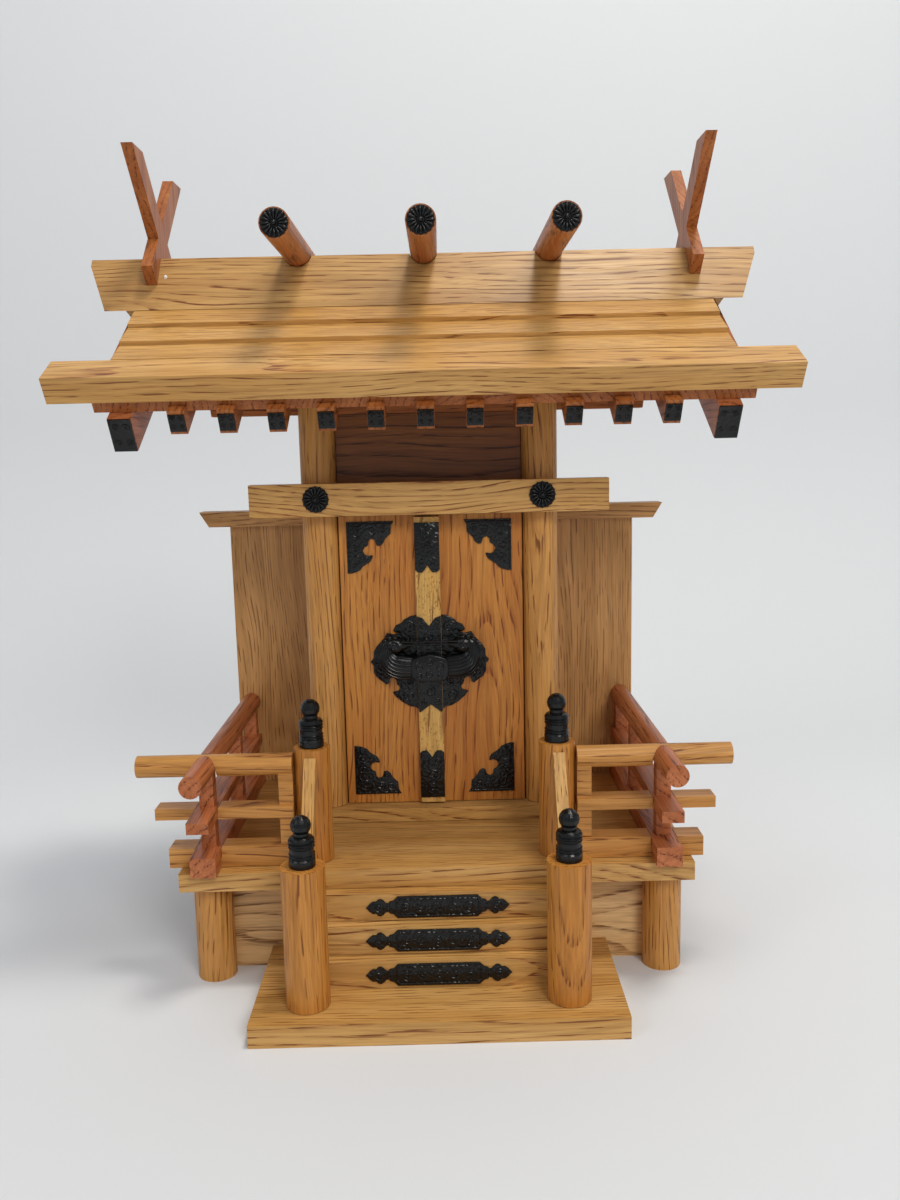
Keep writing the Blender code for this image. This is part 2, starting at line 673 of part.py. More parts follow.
def make_slope(side, eave):
    # Sheathing with a row of rafters under it, cut off at the ridge's middle plane. The slope
    # starts this far up from the front eave's line.
    finish = (RIDGE_Y - GAP / 2, BIG)
    finish = add_box(side + "_ridge_plane", (-BIG, BIG), finish, (0.0, BIG), None, cutters)
    long = along_at_ridge(0.0) + SHEATH_THICK + RAFTER_DEEP
    across = (-SHEATH_HALF, SHEATH_HALF)
    along = (eave + SHEATH_SET_BACK, long)
    deck = slope_box(side + "_roof_deck", across, along, (-SHEATH_THICK, 0.0), wood)
    low_x = -(RAFTER_COUNT - 1) / 2 * RAFTER_PITCH
    across = (low_x - RAFTER_WIDE / 2, low_x + RAFTER_WIDE / 2)
    depth = (-SHEATH_THICK - RAFTER_DEEP, -SHEATH_THICK / 2)
    rafters = slope_box(side + "_rafters", across, (eave + RAFTER_FRONT, long), depth, wood, cutters)
    row = rafters.modifiers.new("Row", "ARRAY")
    row.count = RAFTER_COUNT
    row.use_relative_offset = False
    row.use_constant_offset = True
    row.constant_offset_displace = (RAFTER_PITCH, 0.0, 0.0)
    fuse(deck, [rafters])
    cut(deck, finish)
    top = eave + FASCIA_WIDE
    fascia = [(eave, GAP), (top, GAP), (top, FASCIA_TALL - FASCIA_FALL), (eave, FASCIA_TALL)]
    fascia = [roof_point(*point) for point in fascia]
    fascia = outline_across(side + "_fascia", fascia, (-FASCIA_HALF, FASCIA_HALF), wood)
    # Lapped boards, as one stepped outline. A shorter slope leaves out the lowest ones.
    start = top + GAP
    points = [(start, GAP)]
    for i in range(BOARD_LAPS):
        low = max(start, board_edge(i))
        high = board_edge(i + 1) if i < BOARD_LAPS - 1 else along_at_ridge(BOARD_LOW) - GAP
        if high > low:
            points += [(low, BOARD_PROUD), (high, BOARD_LOW)]
    points.append((along_at_ridge(GAP) - GAP, GAP))
    points = [roof_point(*point) for point in points]
    boards = outline_across(side + "_roof_boards", points, (-BOARDS_HALF, BOARDS_HALF), wood)
    return [finish, deck, rafters, fascia, boards] + make_ridge_board(side)


def ridge_seat():
    # Where the ridge board's foot stands on the uppermost roof board
    low = board_edge(BOARD_LAPS - 1)
    high = along_at_ridge(BOARD_LOW) - GAP
    along = (RIDGE_BOARD_FOOT - EAVE_INSET) / SLOPE_OUT + BOARD_LOW * math.tan(ROOF_SLOPE)
    surface = BOARD_PROUD + (BOARD_LOW - BOARD_PROUD) * (along - low) / (high - low)
    return roof_point(along, surface + GAP)


def ridge_top_z():
    # The boards' faces rise from their feet to the edges of the level top
    seat_y, seat_z = ridge_seat()
    return seat_z + (RIDGE_Y - RIDGE_TOP_HALF - seat_y) * math.tan(RIDGE_BOARD_SLOPE)


def ridge_section(grow=0.0):
    # The ridge board's section: its foot lies on the roof boards, and its top is level
    up = (math.cos(RIDGE_BOARD_SLOPE), math.sin(RIDGE_BOARD_SLOPE))
    out = (-up[1] * grow, up[0] * grow)
    seat_y, seat_z = ridge_seat()
    foot = (seat_y + out[0], seat_z + out[1])
    top_z = ridge_top_z() + grow
    top_y = foot[0] + (top_z - foot[1]) * up[0] / up[1]
    bed = RIDGE_BOARD_THICK / math.sin(RIDGE_BOARD_SLOPE - ROOF_SLOPE)
    inner_foot = (foot[0] + bed * SLOPE_OUT, foot[1] + bed * SLOPE_UP)
    middle = RIDGE_Y - GAP / 2
    inner_z = inner_foot[1] + (middle - inner_foot[0]) * up[1] / up[0]
    return [foot, (top_y, top_z), (middle, top_z), (middle, inner_z), inner_foot]


def log_ends(x):
    z = ridge_top_z() + LOG_ABOVE_RIDGE
    return (x, RIDGE_Y - LOG_HALF, z), (x, RIDGE_Y + LOG_HALF, z)


def make_ridge_board(side):
    points = ridge_section()
    name = side + "_ridge_board"
    board = outline_across(name, points, (-RIDGE_BOARD_HALF, RIDGE_BOARD_HALF), wood)
    made = [board]
    foot_z = points[0][1]
    upright_z = points[1][1] - RIDGE_END_UPRIGHT
    slant = (RIDGE_BOARD_HALF - RIDGE_BOARD_FOOT_HALF) / (upright_z - foot_z)
    depth = (points[0][0] - RIDGE_BOARD_THICK, RIDGE_Y + RIDGE_BOARD_THICK)
    below = RIDGE_BOARD_THICK
    beyond = RIDGE_BOARD_HALF + RIDGE_BOARD_THICK
    for end, sign in SIDES:
        outline = [
            (sign * RIDGE_BOARD_HALF, upright_z),
            (sign * (RIDGE_BOARD_FOOT_HALF - slant * below), foot_z - below),
            (sign * beyond, foot_z - below),
            (sign * beyond, upright_z),
        ]
        cutter = outline_upright(f"{name}_{end}_end", outline, depth, None, cutters)
        cut(board, cutter)
        made.append(cutter)
    for place in (-1, 0, 1):
        x = place * LOG_PITCH
        notch = add_rod(f"{name}_log_notch_{place + 1}", *log_ends(x), LOG_RADIUS + GAP, None, cutters)
        cut(board, notch)
        made.append(notch)
    return made


def make_roof():
    make_slope("front", 0.0)
    for obj in make_slope("back", BACK_SLOPE_SHORTER):
        turn_to_back(obj)
    for name, place in (("left", -1), ("middle", 0), ("right", 1)):
        x = place * LOG_PITCH
        add_rod("ridge_log_" + name, *log_ends(x), LOG_RADIUS, wood)
    foot, top = ridge_section(GAP)[:2]
    saddle = [foot, top] + [(2 * RIDGE_Y - y, z) for y, z in (top, foot)]
    saddle = outline_across("ridge_saddle", saddle, (-RIDGE_BOARD_HALF, RIDGE_BOARD_HALF), None, cutters)
    for side, sign in SIDES:
        make_barge(side, sign)
        make_forked_finial(side, sign, saddle)


def make_barge(side, sign):
    # Both slopes' barge boards of one gable, mitred at the ridge
    top = -SHEATH_THICK - GAP
    low = -SHEATH_THICK - BARGE_DEEP
    points = [roof_point(RAFTER_FRONT, top), roof_point(RAFTER_FRONT, low)]
    points.append(roof_point(along_at_ridge(low), low))
    for above in (low, top):
        y, z = roof_point(BACK_SLOPE_SHORTER + RAFTER_FRONT, above)
        points.append((2 * RIDGE_Y - y, z))
    points.append(roof_point(along_at_ridge(top), top))
    x = sign * BARGE_X
    outline_across("barge_board_" + side, points, (x - BARGE_WIDE / 2, x + BARGE_WIDE / 2), wood)


def make_forked_finial(side, sign, saddle):
    # Two bars crossed in a half lap, cut level at the top and square at the foot
    x = sign * FINIAL_BAR_X
    across = (x - FINIAL_BAR_THICK / 2, x + FINIAL_BAR_THICK / 2)
    up = (math.cos(FINIAL_BAR_SLOPE), math.sin(FINIAL_BAR_SLOPE))
    half = FINIAL_BAR_WIDE / 2
    foot = -FINIAL_FOOT_LONG
    bar = []
    for offset, along in ((half, foot), (-half, foot)):
        bar.append((along * up[0] - offset * up[1], along * up[1] + offset * up[0]))
    rise = FINIAL_TOP_ABOVE_CROSS
    for offset in (-half, half):
        along = (rise - offset * up[0]) / up[1]
        bar.append((along * up[0] - offset * up[1], rise))
    name = "forked_finial_" + side
    cross_z = ridge_top_z() + FINIAL_CROSS_ABOVE_RIDGE
    points = [(RIDGE_Y + y, cross_z + z) for y, z in bar]
    first = outline_across(name, points, across, wood)
    points = [(RIDGE_Y - y, cross_z + z) for y, z in bar]
    second = outline_across(name + "_cross", points, across, wood, cutters)
    fuse(first, [second])
    cut(first, saddle)


clear_scene()
SIDES = (("left", -1), ("right", 1))
parts = new_collection("kamidana")
cutters = new_collection("cutters")
wood = new_material("oiled_zelkova", (0.50, 0.27, 0.11), 0.45)
black = new_material("black_lacquered_metal", (0.02, 0.02, 0.022), 0.35, 0.6)
make_stair()
make_deck()
make_newels()
make_railings()
make_body()
make_doors()
make_lock()
make_roof()
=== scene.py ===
import math
import random

import bpy
from mathutils import Matrix, Vector


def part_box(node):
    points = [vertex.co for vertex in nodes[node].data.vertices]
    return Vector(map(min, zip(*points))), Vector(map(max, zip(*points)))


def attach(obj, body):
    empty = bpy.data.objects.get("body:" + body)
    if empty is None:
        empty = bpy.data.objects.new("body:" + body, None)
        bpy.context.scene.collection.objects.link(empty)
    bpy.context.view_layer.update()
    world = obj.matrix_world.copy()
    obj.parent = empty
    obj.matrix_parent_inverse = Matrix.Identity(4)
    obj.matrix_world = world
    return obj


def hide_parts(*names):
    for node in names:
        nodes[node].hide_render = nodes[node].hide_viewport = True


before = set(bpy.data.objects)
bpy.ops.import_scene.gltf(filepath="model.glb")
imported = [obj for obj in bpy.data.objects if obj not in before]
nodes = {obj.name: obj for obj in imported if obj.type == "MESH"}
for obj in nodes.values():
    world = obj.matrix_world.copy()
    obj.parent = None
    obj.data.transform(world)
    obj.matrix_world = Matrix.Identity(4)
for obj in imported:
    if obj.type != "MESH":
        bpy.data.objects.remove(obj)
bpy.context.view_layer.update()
print("frame loaded")


def srgb(code, dim=1.0):
    # A hex colour as linear light, made darker by dim
    values = []
    for i in (0, 2, 4):
        v = int(code[i : i + 2], 16) / 255
        values.append(dim * (v / 12.92 if v <= 0.04045 else ((v + 0.055) / 1.055) ** 2.4))
    return (*values, 1.0)


def addNode(tree, kind, settings=None, values=None, links=None):
    # One node with its settings, the values of its sockets and what feeds them
    node = tree.nodes.new(kind)
    for key, value in (settings or {}).items():
        setattr(node, key, value)
    for entry, value in (values or {}).items():
        node.inputs[entry].default_value = value
    for entry, source in (links or {}).items():
        tree.links.new(source, node.inputs[entry])
    return node


def useOnly(obj):
    bpy.ops.object.select_all(action="DESELECT")
    obj.select_set(True)
    bpy.context.view_layer.objects.active = obj


def settle(obj):
    useOnly(obj)
    bpy.ops.object.transform_apply(location=True, rotation=True, scale=True)
    return obj


def applyModifiers(obj):
    useOnly(obj)
    for modifier in list(obj.modifiers):
        bpy.ops.object.modifier_apply(modifier=modifier.name)
    return obj


def joinAll(objs, name):
    bpy.ops.object.select_all(action="DESELECT")
    for obj in objs:
        obj.select_set(True)
    bpy.context.view_layer.objects.active = objs[0]
    if len(objs) > 1:
        bpy.ops.object.join()
    joined = bpy.context.view_layer.objects.active
    joined.name = name
    joined.data.name = name
    return settle(joined)


def keepInside(obj, tool):
    boolean = obj.modifiers.new("keep", "BOOLEAN")
    boolean.operation = "INTERSECT"
    boolean.solver = "EXACT"
    boolean.object = tool
    applyModifiers(obj)
    bpy.data.objects.remove(tool, do_unlink=True)
    return obj


def pick(obj, kind, test):
    # Goes into edit mode with the faces or edges that pass the test selected
    useOnly(obj)
    bpy.ops.object.mode_set(mode="EDIT")
    bpy.ops.mesh.select_mode(type=kind)
    bpy.ops.mesh.select_all(action="DESELECT")
    bpy.ops.object.mode_set(mode="OBJECT")
    for item in obj.data.polygons if kind == "FACE" else obj.data.edges:
        item.select = test(item)
    bpy.ops.object.mode_set(mode="EDIT")


def addBlock(name, lowCorner, highCorner):
    lowCorner = Vector(lowCorner)
    highCorner = Vector(highCorner)
    bpy.ops.object.select_all(action="DESELECT")
    bpy.ops.mesh.primitive_cube_add(size=1.0, location=(lowCorner + highCorner) / 2)
    obj = bpy.context.active_object
    obj.name = name
    obj.scale = highCorner - lowCorner
    return settle(obj)


def addDisc(name, centre, radius, deep, vertices=48):
    # A disc that faces the front
    bpy.ops.object.select_all(action="DESELECT")
    bpy.ops.mesh.primitive_cylinder_add(
        radius=radius, depth=deep, vertices=vertices, location=centre, rotation=(math.pi / 2, 0.0, 0.0)
    )
    obj = bpy.context.active_object
    obj.name = name
    return settle(obj)


def addKnob(name, centre, reach, segments=10, rings=6):
    # A rounded lump that reaches so far across, out and up
    bpy.ops.object.select_all(action="DESELECT")
    bpy.ops.mesh.primitive_uv_sphere_add(segments=segments, ring_count=rings, radius=1.0, location=centre)
    obj = bpy.context.active_object
    obj.name = name
    obj.scale = reach
    return settle(obj)


def addFret(name, outline, centre, deep, edge):
    # A flat plate that faces the front: outline in millimetres across and up from its centre
    curve = bpy.data.curves.new(name, "CURVE")
    curve.dimensions = "2D"
    curve.fill_mode = "BOTH"
    curve.extrude = deep / 2 - edge
    curve.bevel_depth = edge
    curve.offset = -edge
    curve.bevel_resolution = 1
    spline = curve.splines.new("POLY")
    spline.points.add(len(outline) - 1)
    for target, (x, z) in zip(spline.points, outline):
        target.co = (x / 1000, z / 1000, 0.0, 1.0)
    spline.use_cyclic_u = True
    obj = bpy.data.objects.new(name, curve)
    bpy.context.scene.collection.objects.link(obj)
    obj.location = centre
    obj.rotation_euler = (math.pi / 2, 0.0, 0.0)
    useOnly(obj)
    bpy.ops.object.convert(target="MESH")
    obj = bpy.context.active_object
    weld = obj.modifiers.new("weld", "WELD")
    weld.merge_threshold = 0.00001
    applyModifiers(obj)
    return settle(obj)


def addWire(name, points, centre, thick, flat=1.0, smooth=1):
    # A round wire through points in millimetres across, up and out from its centre, with a
    # radius in millimetres at each
    curve = bpy.data.curves.new(name, "CURVE")
    curve.dimensions = "3D"
    curve.bevel_depth = 0.001
    curve.bevel_resolution = smooth
    curve.resolution_u = 4 + smooth // 3
    curve.use_fill_caps = True
    spline = curve.splines.new("NURBS")
    spline.points.add(len(points) - 1)
    for i, (target, (x, z, out)) in enumerate(zip(spline.points, points)):
        target.co = (x / 1000, -out / 1000, z / 1000, 1.0)
        target.radius = thick[i] if isinstance(thick, list) else thick
    spline.use_endpoint_u = True
    spline.order_u = 3
    obj = bpy.data.objects.new(name, curve)
    bpy.context.scene.collection.objects.link(obj)
    obj.location = centre
    obj.scale = (1.0, flat, 1.0)
    useOnly(obj)
    bpy.ops.object.convert(target="MESH")
    return settle(bpy.context.active_object)


def addSpiral(name, centre, reach, turns, facing, start, thick):
    points = []
    count = int(turns * 9)
    for i in range(count + 1):
        share = i / count
        angle = math.radians(start) + facing * share * turns * math.tau
        r = reach * (1 - 0.86 * share)
        points.append((r * math.cos(angle), r * math.sin(angle), 0.0))
    return addWire(name, points, centre, thick)


def mirrored(outline):
    return list(outline) + [(-x, z) for x, z in reversed(outline) if abs(x) > 0.001]


def finishPiece(obj, material, body):
    obj.data.materials.clear()
    obj.data.materials.append(material)
    useOnly(obj)
    bpy.ops.object.shade_smooth_by_angle(angle=math.radians(40))
    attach(obj, body)
    return obj


def placeCopy(pattern, name, place, turn=(0.0, 0.0, 0.0), flip=(1, 1, 1)):
    # A copy with its own mesh, turned or mirrored and put in place
    obj = pattern.copy()
    obj.data = pattern.data.copy()
    bpy.context.scene.collection.objects.link(obj)
    obj.name = name
    obj.data.name = name
    obj.location = place
    obj.rotation_euler = turn
    obj.scale = flip
    settle(obj)
    if flip[0] * flip[1] * flip[2] < 0:
        pick(obj, "FACE", lambda face: True)
        bpy.ops.mesh.normals_make_consistent(inside=False)
        bpy.ops.object.mode_set(mode="OBJECT")
    return obj


railLow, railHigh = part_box("stair_handrail_left")
grainTurns = {
    "X": (0.0, 0.0, 0.0),
    "Y": (0.0, 0.0, -math.pi / 2),
    "Z": (0.0, math.pi / 2, 0.0),
    "stair": (-math.atan2(railHigh.z - railLow.z, railHigh.y - railLow.y), 0.0, -math.pi / 2),
}


# Zelkova, planed and oiled: ring-porous wood, so each year starts with a dark line of open pores
# and fades to a pale, smooth band, under a soft sheen. Sizes are in metres. Real pores are about
# 0.3 mm wide, and are drawn about 1 mm wide so that they show.
def makeZelkova(name, grain, tones, ringGap, heart, offset, lines=0.8, sway=0.026, flecks=0.0):
    material = bpy.data.materials.new(name)
    material.use_nodes = True
    tree = material.node_tree
    shader = tree.nodes["Principled BSDF"]
    coords = addNode(tree, "ShaderNodeTexCoord")
    # The grain is turned onto X
    place = addNode(
        tree, "ShaderNodeMapping", {}, {"Location": offset, "Rotation": grainTurns[grain]},
        {"Vector": coords.outputs["Object"]},
    )
    # The rings wander as they run along the board
    drift = addNode(tree, "ShaderNodeMapping", {}, {"Scale": (5.0, 22.0, 22.0)}, {"Vector": place.outputs["Vector"]})
    wander = addNode(
        tree, "ShaderNodeTexNoise", {}, {"Scale": 1.0, "Detail": 1.5, "Roughness": 0.4},
        {"Vector": drift.outputs["Vector"]},
    )
    centred = addNode(
        tree, "ShaderNodeVectorMath", {"operation": "SUBTRACT"}, {1: (0.5, 0.5, 0.5)}, {0: wander.outputs["Color"]}
    )
    sideways = addNode(
        tree, "ShaderNodeVectorMath", {"operation": "MULTIPLY"}, {1: (0.0, sway, sway)}, {0: centred.outputs["Vector"]}
    )
    swayed = addNode(
        tree, "ShaderNodeVectorMath", {"operation": "ADD"}, {},
        {0: place.outputs["Vector"], 1: sideways.outputs["Vector"]},
    )
    # Noise drawn out along the grain: how often in a metre along and across, detail and roughness
    fields = {}
    noises = [
        ("uneven", place, 0.5, 90.0, 0.0, 0.5),
        ("tone", place, 7.0, 60.0, 2.0, 0.5),
        ("fibre", swayed, 16.0, 1000.0, 3.0, 0.65),
        ("pore", swayed, 52.0, 1000.0, 1.0, 0.4),
        ("streak", swayed, 9.0, 330.0, 2.0, 0.6),
    ]
    if flecks:
        noises.append(("fleck", place, 520.0, 800.0, 1.0, 0.5))
    for field, source, along, across, detail, rough in noises:
        drawn = addNode(
            tree, "ShaderNodeMapping", {}, {"Scale": (along, across, across)}, {"Vector": source.outputs["Vector"]}
        )
        noise = addNode(
            tree, "ShaderNodeTexNoise", {}, {"Scale": 1.0, "Detail": detail, "Roughness": rough},
            {"Vector": drawn.outputs["Vector"]},
        )
        fields[field] = noise.outputs["Fac"]
    # Rings about a heart line beside the board
    shifted = addNode(tree, "ShaderNodeVectorMath", {"operation": "ADD"}, {1: heart}, {0: swayed.outputs["Vector"]})
    flat = addNode(
        tree, "ShaderNodeVectorMath", {"operation": "MULTIPLY"}, {1: (0.0, 1.0, 1.0)}, {0: shifted.outputs["Vector"]}
    )
    reach = addNode(tree, "ShaderNodeVectorMath", {"operation": "LENGTH"}, {}, {0: flat.outputs["Vector"]})
    ragged = addNode(
        tree, "ShaderNodeMath", {"operation": "MULTIPLY_ADD"}, {1: 0.9 * ringGap},
        {0: fields["uneven"], 2: reach.outputs["Value"]},
    )
    count = addNode(tree, "ShaderNodeMath", {"operation": "DIVIDE"}, {1: ringGap}, {0: ragged.outputs["Value"]})
    phase = addNode(tree, "ShaderNodeMath", {"operation": "FRACT"}, {}, {0: count.outputs["Value"]})
    rings = addNode(tree, "ShaderNodeValToRGB", {}, {}, {"Fac": phase.outputs["Value"]})
    ramp = rings.color_ramp
    for position, grey in ((0.04, 1.0), (0.13, 0.9), (0.24, 0.35), (0.5, 0.05)):
        ramp.elements.new(position).color = (grey, grey, grey, 1.0)
    for end in (ramp.elements[0], ramp.elements[len(ramp.elements) - 1]):
        end.color = (0.12, 0.12, 0.12, 1.0)
    # Some years are darker than others
    year = addNode(tree, "ShaderNodeMath", {"operation": "FLOOR"}, {}, {0: count.outputs["Value"]})
    chance = addNode(tree, "ShaderNodeTexWhiteNoise", {"noise_dimensions": "1D"}, {}, {"W": year.outputs["Value"]})
    fields["chance"] = chance.outputs["Value"]
    # Shares of each field: from and to which value, and how much that is
    shares = {}
    for share, field, start, end, least, most in (
        ("tone", "tone", 0.36, 0.64, 0.0, 1.0),
        ("streak", "streak", 0.46, 0.70, 0.0, 0.6),
        ("fibre", "fibre", 0.46, 0.72, 0.0, 0.45),
        ("dash", "pore", 0.50, 0.57, 0.0, 1.0),
        ("line", "fibre", 0.34, 0.58, 0.42 * lines, 0.8 * lines),
        ("chance", "chance", 0.0, 1.0, 0.4, 1.25),
        ("dull", "fibre", 0.3, 0.7, 0.35, 0.48),
    ):
        spread = addNode(
            tree, "ShaderNodeMapRange", {}, {"From Min": start, "From Max": end, "To Min": least, "To Max": most},
            {"Value": fields[field]},
        )
        shares[share] = spread.outputs["Result"]
    gathered = addNode(
        tree, "ShaderNodeMath", {"operation": "MULTIPLY_ADD"}, {1: 0.95, 2: 0.02}, {0: rings.outputs["Color"]}
    )
    pores = addNode(
        tree, "ShaderNodeMath", {"operation": "MULTIPLY"}, {}, {0: shares["dash"], 1: gathered.outputs["Value"]}
    )
    dark = addNode(tree, "ShaderNodeMath", {"operation": "MULTIPLY"}, {}, {0: shares["line"], 1: shares["chance"]})
    lined = addNode(
        tree, "ShaderNodeMath", {"operation": "MULTIPLY"}, {}, {0: rings.outputs["Color"], 1: dark.outputs["Value"]}
    )
    # Colour, from the ground to the pores
    layers = [
        (srgb(tones["tan"]), shares["tone"]),
        (srgb(tones["tan"], 0.66), shares["streak"]),
        (srgb(tones["tan"], 0.62), shares["fibre"]),
        (srgb(tones["brown"]), lined.outputs["Value"]),
        (srgb(tones["brown"], 0.6), pores.outputs["Value"]),
    ]
    if flecks:
        speck = addNode(
            tree, "ShaderNodeMapRange", {}, {"From Min": 0.58, "From Max": 0.70, "To Min": 0.0, "To Max": flecks},
            {"Value": fields["fleck"]},
        )
        layers.append((srgb("84501f"), speck.outputs["Result"]))
    colour = addNode(
        tree, "ShaderNodeMix", {"data_type": "RGBA"}, {"A": srgb(tones["pale"]), "B": layers[0][0]},
        {"Factor": layers[0][1]},
    )
    for tint, share in layers[1:]:
        colour = addNode(
            tree, "ShaderNodeMix", {"data_type": "RGBA"}, {"B": tint},
            {"A": colour.outputs["Result"], "Factor": share},
        )
    tree.links.new(colour.outputs["Result"], shader.inputs["Base Color"])
    # Surface: the pores are open, and the fibres stand a little proud
    depth = addNode(
        tree, "ShaderNodeMath", {"operation": "MULTIPLY_ADD"}, {1: -1.0},
        {0: pores.outputs["Value"], 2: fields["fibre"]},
    )
    bump = addNode(
        tree, "ShaderNodeBump", {}, {"Strength": 0.3, "Distance": 0.0002}, {"Height": depth.outputs["Value"]}
    )
    tree.links.new(bump.outputs["Normal"], shader.inputs["Normal"])
    tree.links.new(shares["dull"], shader.inputs["Roughness"])
    shader.inputs["IOR"].default_value = 1.45
    shader.inputs["Specular IOR Level"].default_value = 0.4
    return material


# Cast metal under a black lacquer: deep black with small, sharp highlights, and a fine grit that
# breaks them up. The embossed kind has nested arcs, as of waves, pressed into the sheet.
def makeBlackMetal(name, ground, worn, embossed=0.0):
    material = bpy.data.materials.new(name)
    material.use_nodes = True
    tree = material.node_tree
    shader = tree.nodes["Principled BSDF"]
    coords = addNode(tree, "ShaderNodeTexCoord")
    grit = addNode(
        tree, "ShaderNodeTexNoise", {}, {"Scale": 700.0, "Detail": 3.0}, {"Vector": coords.outputs["Object"]}
    )
    share = addNode(
        tree, "ShaderNodeMapRange", {}, {"From Min": 0.5, "From Max": 0.75}, {"Value": grit.outputs["Fac"]}
    )
    colour = addNode(
        tree, "ShaderNodeMix", {"data_type": "RGBA"}, {"A": srgb(ground), "B": srgb(worn)},
        {"Factor": share.outputs["Result"]},
    )
    tree.links.new(colour.outputs["Result"], shader.inputs["Base Color"])
    bump = addNode(
        tree, "ShaderNodeBump", {}, {"Strength": 0.3, "Distance": 0.0002}, {"Height": grit.outputs["Fac"]}
    )
    if embossed:
        cells = addNode(tree, "ShaderNodeTexVoronoi", {}, {"Scale": 190.0}, {"Vector": coords.outputs["Object"]})
        spread = addNode(tree, "ShaderNodeMath", {"operation": "MULTIPLY"}, {1: 15.0}, {0: cells.outputs["Distance"]})
        arcs = addNode(tree, "ShaderNodeMath", {"operation": "SINE"}, {}, {0: spread.outputs["Value"]})
        pressed = addNode(
            tree, "ShaderNodeBump", {}, {"Strength": embossed, "Distance": 0.0003}, {"Height": arcs.outputs["Value"]}
        )
        tree.links.new(pressed.outputs["Normal"], bump.inputs["Normal"])
    tree.links.new(bump.outputs["Normal"], shader.inputs["Normal"])
    shader.inputs["Roughness"].default_value = 0.24
    shader.inputs["Specular IOR Level"].default_value = 0.35
    return material


def makePlain(name, colour, roughness):
    material = bpy.data.materials.new(name)
    material.use_nodes = True
    shader = material.node_tree.nodes["Principled BSDF"]
    shader.inputs["Base Color"].default_value = srgb(colour)
    shader.inputs["Roughness"].default_value = roughness
    return material


blackMetal = makeBlackMetal("black lacquered cast metal", "08090a", "161719")
embossedMetal = makeBlackMetal("black lacquered embossed metal", "08090a", "161719", 0.32)

# Tones of the different boards
straw = {"pale": "d6a866", "tan": "c6944f", "brown": "8e4a1c"}
# Painted shade: the straw tone darkened for the ridge boards, whose front face catches strong light
strawWithPaintedShade = {"pale": "c69c5f", "tan": "b48850", "brown": "824218"}
honey = {"pale": "cb8b40", "tan": "bb7830", "brown": "91501c"}
amber = {"pale": "cc8a3e", "tan": "bb742e", "brown": "8e4012"}
golden = {"pale": "d09d62", "tan": "c08d52", "brown": "90582a"}
maize = {"pale": "d69c54", "tan": "c68a44", "brown": "92521e"}
# Partly the skirt's paler, greyer wood and partly painted light: lightened further to offset the shade the skirt lies
# in
paleFlaxAndPaintedLight = {"pale": "f2cc94", "tan": "e6b97e", "brown": "9a6636"}
russet = {"pale": "b8703a", "tan": "a25c2a", "brown": "763614"}
brick = {"pale": "c87a4c", "tan": "b2663a", "brown": "783618"}
# Painted shade: a darkened tone for the walls under the eaves, standing in for the roof's shadow
eaveShadowTones = {"pale": "8a5428", "tan": "78441e", "brown": "53290e"}
sand = {"pale": "dcae62", "tan": "d09c4c", "brown": "a06a2c"}
random.seed(7)


def woodFor(names, grain, tones, ringGap=0.0046, heart=(0.0, 0.03, 0.05), **looks):
    # Each piece is cut from its own place in the tree
    for name in names:
        offset = (random.uniform(-1, 1), random.uniform(-0.02, 0.02), random.uniform(-0.02, 0.02))
        material = makeZelkova("oiled zelkova " + name, grain, tones, ringGap, heart, offset, **looks)
        nodes[name].data.materials.clear()
        nodes[name].data.materials.append(material)


woodFor(("front_fascia", "back_fascia"), "X", straw, 0.0027, (0.0, 0.09, -0.26), lines=0.65)
# Painted shade: the ridge boards take a darkened copy of the straw tone
woodFor(("front_ridge_board", "back_ridge_board"), "X", strawWithPaintedShade, 0.0026, (0.0, 0.06, -0.36), lines=0.62)
woodFor(("front_roof_boards", "back_roof_boards"), "X", straw, 0.0022, (0.0, 0.10, -0.30), lines=0.42)
woodFor(("front_roof_deck", "back_roof_deck"), "Y", russet, 0.0036, (0.0, 0.05, -0.30))
woodFor(("front_beam",), "X", straw, 0.0033, (0.0, 0.03, -0.30), lines=0.85, sway=0.040)
woodFor(("front_purlin", "rear_purlin"), "X", russet, 0.0034, (0.0, 0.07, -0.26))
# Painted shade: the walls under the eaves take the darkened tone of the roof's shadow
woodFor(("upper_front_wall", "back_wall"), "X", eaveShadowTones, 0.0040, (0.0, 0.05, -0.24))
woodFor(("wing_cap_left", "wing_cap_right"), "X", golden, 0.0030)
woodFor(("deck", "body_floor", "step_board"), "X", straw, 0.0023, (0.0, 0.16, -0.03), lines=0.5)
woodFor(("step_top", "step_middle", "step_low"), "X", straw, 0.0026, (0.0, 0.14, -0.02), lines=0.6)
# The skirt's tone is partly its paler wood and partly painted light against its shade
woodFor(("front_skirt",), "X", paleFlaxAndPaintedLight, 0.0028, (0.0, 0.14, -0.02), lines=0.8)
pillars = [f"{end}_pillar_{side}" for end in ("front", "rear") for side in ("left", "right")]
newels = [f"{end}_newel_{side}" for end in ("front", "rear") for side in ("left", "right")]
woodFor(pillars, "Z", maize, 0.0025, lines=0.38)
woodFor(newels, "Z", honey, 0.0026, lines=0.36)
woodFor(("front_leg_left", "front_leg_right", "back_leg_left", "back_leg_right"), "Z", maize, 0.0025, lines=0.4)
woodFor(("left_door", "right_door"), "Z", amber, 0.0028, (0.0, 0.06, 0.03), lines=0.6, sway=0.030)
woodFor(("door_strip",), "Z", sand, 0.0020, (0.0, 0.30, 0.03), lines=0.2, flecks=0.6)
woodFor(("wing_panel_left", "wing_panel_right"), "Z", golden, 0.0018, (0.0, 0.02, 0.30), lines=0.35)
woodFor(("side_wall_left", "side_wall_right"), "Z", golden)
woodFor(("ridge_log_left", "ridge_log_middle", "ridge_log_right"), "Y", russet, lines=0.6)
